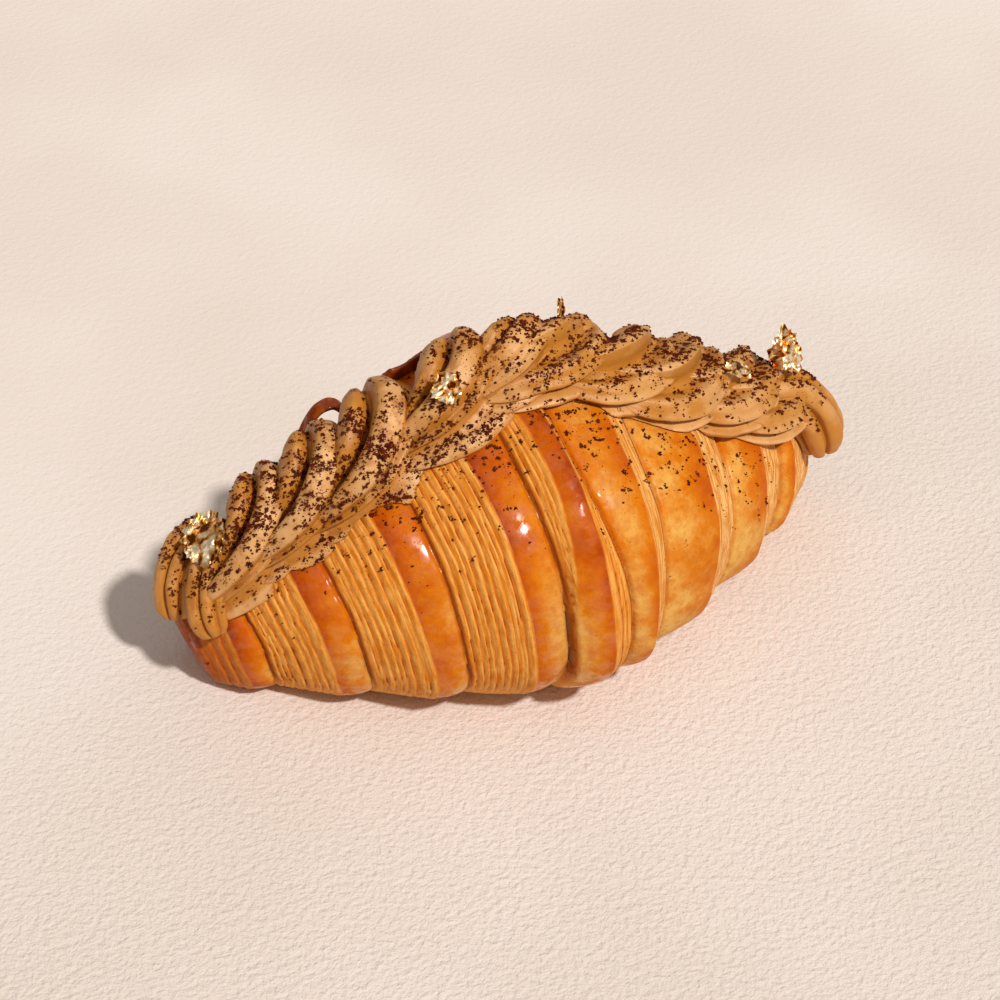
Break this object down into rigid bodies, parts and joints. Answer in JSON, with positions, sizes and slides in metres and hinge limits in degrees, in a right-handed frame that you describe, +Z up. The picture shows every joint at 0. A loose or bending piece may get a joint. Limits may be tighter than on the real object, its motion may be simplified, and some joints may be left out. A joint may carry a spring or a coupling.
{
  "type": "croissant",
  "caption": "Baked croissant with a rope of piped coffee cream along its crest and crumpled gold leaf on the cream.",
  "frame": {"origin": "middle of the whole seen from above, on the table the pastry rests on", "axes": "+X along the pastry towards its right tip, -Y towards the rounded front, +Z up"},
  "size_m": [0.1596, 0.0804, 0.0806],
  "materials": {
    "crust": "baked, glossy egg wash on the smooth turns and matt on the cut layers",
    "cream": "satin whipped cream dusted with dark powder",
    "gold": "bright crumpled leaf"
  },
  "bodies": {
    "root": {"pastry": "crust", "piped_cream": "cream", "gold_leaf_left": "gold", "gold_leaf_middle": "gold", "gold_leaf_strip": "gold", "gold_leaf_flake": "gold", "gold_leaf_right": "gold"}
  },
  "joints": []
}
